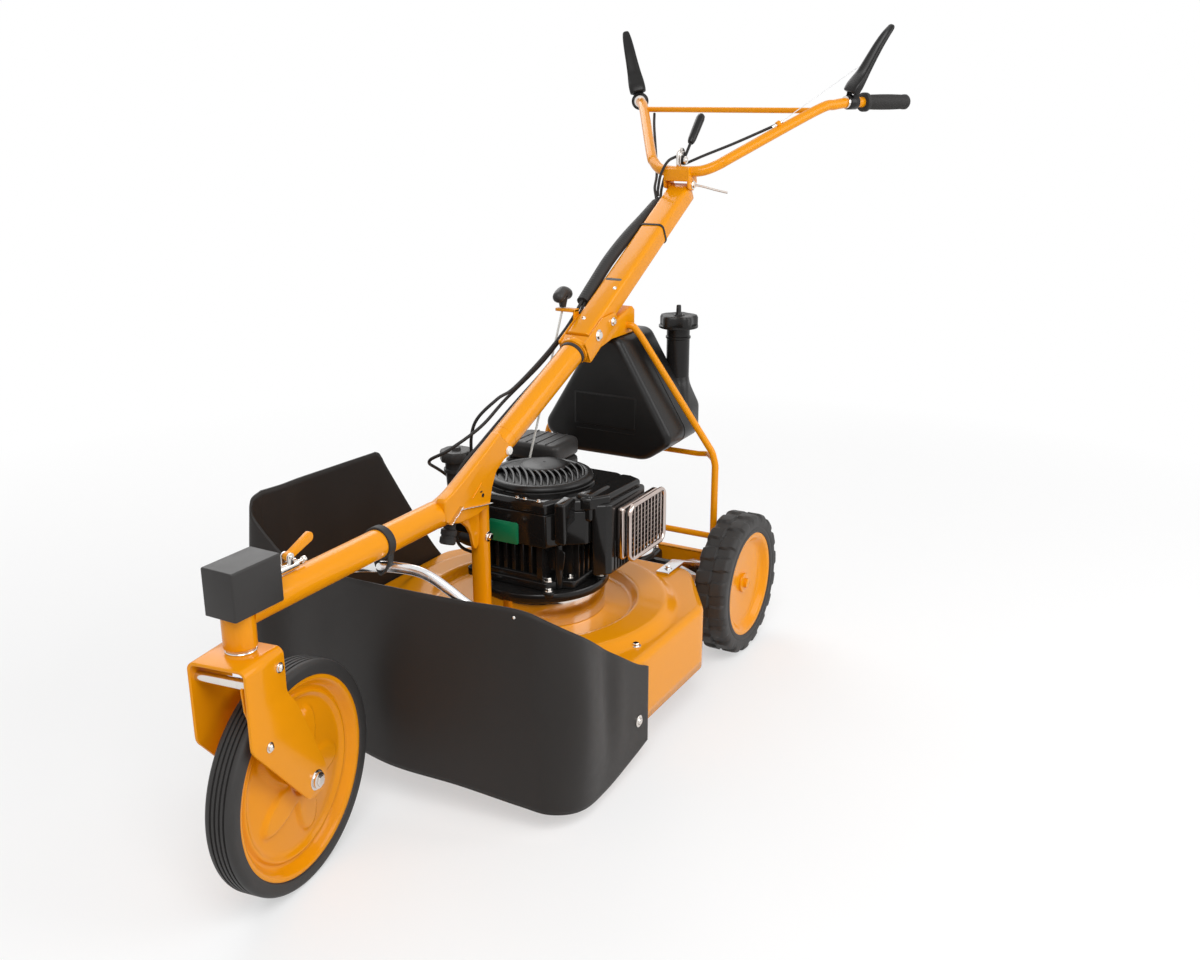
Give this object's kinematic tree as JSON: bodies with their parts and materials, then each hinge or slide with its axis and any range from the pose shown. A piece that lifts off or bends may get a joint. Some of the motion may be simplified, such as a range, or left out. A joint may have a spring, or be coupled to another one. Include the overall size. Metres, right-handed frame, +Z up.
{
  "type": "walk-behind brush cutter",
  "caption": "Walk-behind brush cutter with a front caster wheel, a rubber apron round its cutter deck, an engine, lugged rear wheels and a tilting column with handlebar and levers.",
  "frame": {"origin": "middle of the footprint's bounding box, on the ground under the wheels", "axes": "+X to the operator's left, +Y from the front caster back to the operator, +Z up"},
  "size_m": [0.7002, 1.9022, 1.2408],
  "materials": {
    "black_paint": "satin black",
    "bright_steel": "bright steel",
    "cast_alloy": "cast, satin",
    "gloss_plastic": "gloss black",
    "matte_plastic": "matte black",
    "orange_paint": "gloss powder coat",
    "rope": "braided cord",
    "soft_rubber": "matte dark grey",
    "tyre_rubber": "matte black",
    "zinc": "zinc plated"
  },
  "bodies": {
    "frame": {"frame_junction": "orange_paint", "boom_tube": "orange_paint", "head_tube": "orange_paint", "air_filter": "matte_plastic", "apron": "soft_rubber", "apron_bow": "zinc", "axle_bracket_left": "zinc", "axle_bracket_right": "zinc", "blower_housing": "gloss_plastic", "boom_strap": "soft_rubber", "brake_cable": "soft_rubber", "column_clamp": "orange_paint", "crankcase": "black_paint", "cylinder_shroud": "gloss_plastic", "deck_housing": "orange_paint", "drive_belt": "soft_rubber", "drive_cable": "soft_rubber", "engine_base": "black_paint", "fuel_tank": "matte_plastic", "gearbox": "black_paint", "head_cover": "matte_plastic", "lock_guide": "zinc", "lower_column": "orange_paint", "muffler": "bright_steel", "muffler_guard": "bright_steel", "oil_filler": "matte_plastic", "rear_guard": "orange_paint", "rod_frame": "orange_paint", "starter_grille": "gloss_plastic", "starter_rope": "rope", "tank_bracket": "orange_paint", "throttle_cable": "soft_rubber"},
    "caster": {"caster_fork": "orange_paint", "steering_stem": "zinc", "front_axle": "zinc"},
    "front_wheel": {"front_rim": "orange_paint", "front_tyre": "tyre_rubber"},
    "rear_wheel_left": {"rear_rim_left": "orange_paint", "rear_tyre_left": "tyre_rubber"},
    "rear_wheel_right": {"rear_rim_right": "orange_paint", "rear_tyre_right": "tyre_rubber"},
    "crank": {"crankshaft": "cast_alloy", "blade": "bright_steel"},
    "gearbox_pulley": {"drive_pulley": "zinc"},
    "column": {"upper_column": "orange_paint", "cable_sleeve": "soft_rubber"},
    "bars": {"handlebar": "orange_paint", "grip_left": "soft_rubber", "grip_right": "soft_rubber"},
    "left_lever": {"lever_left": "matte_plastic"},
    "right_lever": {"lever_right": "matte_plastic"},
    "speed_control": {"speed_lever": "matte_plastic"},
    "swivel_lock_lever": {"lock_lever": "orange_paint"},
    "swivel_lock_pin": {"lock_pin": "zinc"},
    "fuel_cap": {"tank_cap": "matte_plastic"},
    "oil_plug": {"oil_cap": "matte_plastic"},
    "pull_handle": {"starter_handle": "matte_plastic"}
  },
  "joints": [
    {"name": "caster_swivel", "type": "hinge", "parent": "frame", "child": "caster", "pos_m": [0.005, -0.86042, 0], "axis": [0, 0, 1], "continuous": true},
    {"name": "front_wheel_spin", "type": "hinge", "parent": "caster", "child": "front_wheel", "pos_m": [-0.00623, -0.78324, 0.169], "axis": [0.9896, 0.144, 0], "continuous": true},
    {"name": "rear_left_spin", "type": "hinge", "parent": "frame", "child": "rear_wheel_left", "pos_m": [0, 0.24708, 0.144], "axis": [1, 0, 0], "continuous": true},
    {"name": "rear_right_spin", "type": "hinge", "parent": "frame", "child": "rear_wheel_right", "pos_m": [0, 0.24708, 0.144], "axis": [1, 0, 0], "continuous": true},
    {"name": "crank_spin", "type": "hinge", "parent": "frame", "child": "crank", "pos_m": [0.02, -0.13542, 0.105], "axis": [0, 0, 1], "continuous": true},
    {"name": "pulley_spin", "type": "hinge", "parent": "frame", "child": "gearbox_pulley", "pos_m": [0.02, 0.20958, 0.177], "axis": [0, 0, 1], "continuous": true},
    {"name": "column_tilt", "type": "hinge", "parent": "frame", "child": "column", "pos_m": [0, 0.06658, 0.664], "axis": [1, 0, 0], "range_deg": [-2, 12], "deforming": ["throttle_cable", "drive_cable", "brake_cable"]},
    {"name": "handlebar_tilt", "type": "hinge", "parent": "column", "child": "bars", "pos_m": [0, 0.47658, 0.914], "axis": [1, 0, 0], "range_deg": [-10, 15], "deforming": ["throttle_cable", "drive_cable", "brake_cable"]},
    {"name": "left_lever_press", "type": "hinge", "parent": "bars", "child": "left_lever", "pos_m": [0.26521, 0.78992, 1.10433], "axis": [-0.8682, 0.4424, 0.225], "range_deg": [0, 50], "stiffness_Nm_per_rad": 0.5, "springref_deg": -28.65},
    {"name": "right_lever_press", "type": "hinge", "parent": "bars", "child": "right_lever", "pos_m": [-0.26521, 0.78992, 1.10433], "axis": [-0.8682, -0.4424, -0.225], "range_deg": [0, 50], "stiffness_Nm_per_rad": 0.5, "springref_deg": -28.65},
    {"name": "speed_lever_turn", "type": "hinge", "parent": "bars", "child": "speed_control", "pos_m": [0, 0.48058, 0.964], "axis": [1, 0, 0], "range_deg": [-25, 25]},
    {"name": "lock_lever_turn", "type": "hinge", "parent": "frame", "child": "swivel_lock_lever", "pos_m": [0.005, -0.76242, 0.4979], "axis": [1, 0, 0], "range_deg": [0, 45]},
    {"name": "lock_pin_slide", "type": "slide", "parent": "frame", "child": "swivel_lock_pin", "axis": [0, -1, 0], "range_m": [0, 0.0055]},
    {"name": "tank_cap_turn", "type": "hinge", "parent": "frame", "child": "fuel_cap", "pos_m": [0.082, 0.30658, 0.645], "axis": [0, 0, 1], "range_deg": [0, 120]},
    {"name": "oil_cap_turn", "type": "hinge", "parent": "frame", "child": "oil_plug", "pos_m": [-0.148, -0.15542, 0.452], "axis": [0, 0, 1], "range_deg": [0, 90]},
    {"name": "starter_pull", "type": "slide", "parent": "frame", "child": "pull_handle", "axis": [-0.2001, 0.7502, 0.6302], "range_m": [0, 0.35], "stiffness_N_per_m": 20, "springref_m": -0.3, "deforming": ["starter_rope"]}
  ],
  "couplings": [
    {"joint": "pulley_spin", "follows": "crank_spin", "ratio": 0.6667},
    {"joint": "lock_pin_slide", "follows": "lock_lever_turn", "m_per_rad": 0.007}
  ]
}
